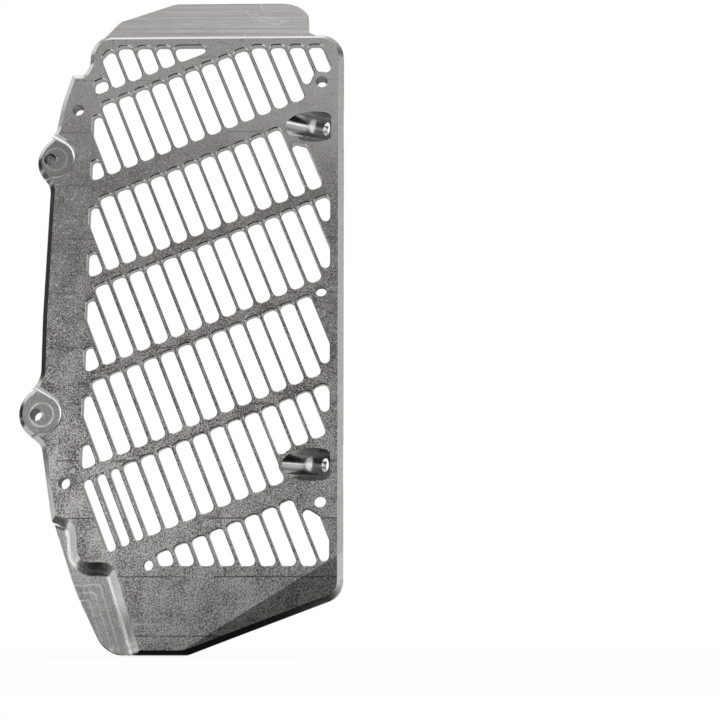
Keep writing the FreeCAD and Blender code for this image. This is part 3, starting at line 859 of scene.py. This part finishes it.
def glow(tree, row, way, towards, reach, strength):
    """Soft glow of the world round one direction: full within the reach, none a little further out."""
    along = put(tree, "ShaderNodeVectorMath", (-6, row), {"operation": "DOT_PRODUCT"}, i0=way,
                i1=tuple(Vector(towards).normalized())).outputs["Value"]
    inner, outer = reach
    return spread(tree, (-5, row), along, math.cos(math.radians(outer)), math.cos(math.radians(inner)),
                  0.0, strength, smooth=True)


def studio_world(stage):
    """White behind the guard and to the camera; elsewhere a dim room, darker below, with its soft lights."""
    world = bpy.data.worlds.new("studio")
    world.use_nodes = True
    tree = world.node_tree
    tree.nodes.clear()
    way = put(tree, "ShaderNodeTexCoord", (-9, 0)).outputs["Generated"]
    total = stage.room_level
    for index, (towards, reach, strength) in enumerate(GLOWS):
        part = glow(tree, 4 - 2 * index, way, towards, reach, strength)
        total = calculate(tree, (index - 4, 4 - 2 * index), "ADD", total, part)
    _, back, height = put(tree, "ShaderNodeSeparateXYZ", (-8, -3), i0=way).outputs
    under = spread(tree, (-6, -5), height, *UNDER_SPAN, UNDER_SHARE, 1.0, smooth=True)
    total = calculate(tree, (2, 2), "MULTIPLY", total, under)
    behind = spread(tree, (-6, -7), back, *WHITE_SPAN, smooth=True)
    lit = put(tree, "ShaderNodeCombineXYZ", (3, 2), i0=total, i1=total, i2=total).outputs[0]
    room = blended(tree, (4, 2), behind, lit, (1, 1, 1))
    seen = put(tree, "ShaderNodeLightPath", (3, -2))
    shine = put(tree, "ShaderNodeBackground", (5, 1), i0=room, i1=1.0)
    white = put(tree, "ShaderNodeBackground", (5, -1), i0=(1, 1, 1, 1), i1=1.0)
    direct = calculate(tree, (4, -2), "MAXIMUM", seen.outputs["Is Camera Ray"],
                       seen.outputs["Is Transmission Ray"])
    mix = put(tree, "ShaderNodeMixShader", (6, 0), i0=direct, i1=shine.outputs[0], i2=white.outputs[0])
    out = put(tree, "ShaderNodeOutputWorld", (7, 0))
    tree.links.new(mix.outputs[0], out.inputs[0])
    return world


def studio_card(name, corners, brightness):
    """Cards that only reflections show: one for every four corners, all of the same brightness."""
    mesh = bpy.data.meshes.new(name)
    mesh.from_pydata(corners, [], [tuple(range(first, first + 4)) for first in range(0, len(corners), 4)])
    material = bpy.data.materials.new(name)
    material.use_nodes = True
    tree = material.node_tree
    tree.nodes.clear()
    shine = put(tree, "ShaderNodeEmission", (0, 0), Color=(1, 1, 1, 1), Strength=brightness)
    out = put(tree, "ShaderNodeOutputMaterial", (2, 0))
    tree.links.new(shine.outputs[0], out.inputs[0])
    mesh.materials.append(material)
    card = bpy.data.objects.new(name, mesh)
    card.visible_camera = False
    card.visible_diffuse = False
    card.visible_transmission = False
    card.visible_shadow = False
    return card


def cards(floor):
    """Black cards just above the floor, and pale ones that stand on it.

    A straight look down from the guard's undersides finds the black one between the pale slats.
    """
    up = floor + DARK_LIFT
    corners = []
    for left, right, near, far in DARK_CARDS:
        corners += [(left, near, up), (right, near, up), (right, far, up), (left, far, up)]
    dark = studio_card("dark_cards", corners, DARK_LEVEL)
    corners = []
    for x, near, far, high in PALE_CARDS:
        corners += [(x, near, floor), (x, far, floor), (x, far, floor + high), (x, near, floor + high)]
    return [dark, studio_card("pale_cards", corners, PALE_LEVEL)]


class GUARD_OT_stage(bpy.types.Operator):
    """Set up the pale floor, the soft light, the cards and the camera"""
    bl_idname = "guard.stage"
    bl_label = "Set Up Studio"

    def execute(self, context):
        scene = context.scene
        stage = scene.guard_stage
        scene.world = studio_world(stage)
        floor = floor_sheet(stage.floor_size, stage.floor_colour, LOW.z)
        light = soft_light("top_light", LIGHT_PLACE, LIGHT_TARGET, LIGHT_SIZE, stage.top_power)
        shown = [floor] + cards(LOW.z)
        for thing in shown + [light]:
            scene.collection.objects.link(thing)
        data = bpy.data.cameras.new("studio_camera")
        data.sensor_width = 36.0
        data.lens = stage.lens
        camera = bpy.data.objects.new("studio_camera", data)
        turn = Matrix((CAMERA_RIGHT, CAMERA_UP, -Vector(CAMERA_AHEAD))).transposed().to_4x4()
        camera.matrix_world = Matrix.Translation(CAMERA_PLACE) @ turn
        scene.collection.objects.link(camera)
        scene.camera = camera
        scene.view_settings.view_transform = "Standard"
        return {"FINISHED"}


class GUARD_PT_tools(bpy.types.Panel):
    """Sizes, colours and steps of the radiator guard"""
    bl_idname = "GUARD_PT_tools"
    bl_label = "Radiator Guard"
    bl_space_type = "VIEW_3D"
    bl_region_type = "UI"
    bl_category = "Radiator Guard"

    def draw(self, context):
        layout = self.layout
        for group, operator in (("guard_finish", "guard.plate"), ("guard_stage", "guard.stage")):
            box = layout.box()
            settings = getattr(context.scene, group)
            for name in settings.bl_rna.properties.keys():
                if name not in ("rna_type", "name"):
                    box.prop(settings, name)
            box.operator(operator)


CLASSES = (GuardFinish, GuardStage, GUARD_OT_plate, GUARD_OT_stage, GUARD_PT_tools)


def register():
    for item in CLASSES:
        bpy.utils.register_class(item)
    bpy.types.Scene.guard_finish = bpy.props.PointerProperty(type=GuardFinish)
    bpy.types.Scene.guard_stage = bpy.props.PointerProperty(type=GuardStage)


def unregister():
    del bpy.types.Scene.guard_stage
    del bpy.types.Scene.guard_finish
    for item in reversed(CLASSES):
        bpy.utils.unregister_class(item)


def main():
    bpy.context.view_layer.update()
    register()
    bpy.ops.guard.plate()
    bpy.ops.guard.stage()
    bpy.context.view_layer.update()


if __name__ == "__main__":
    main()
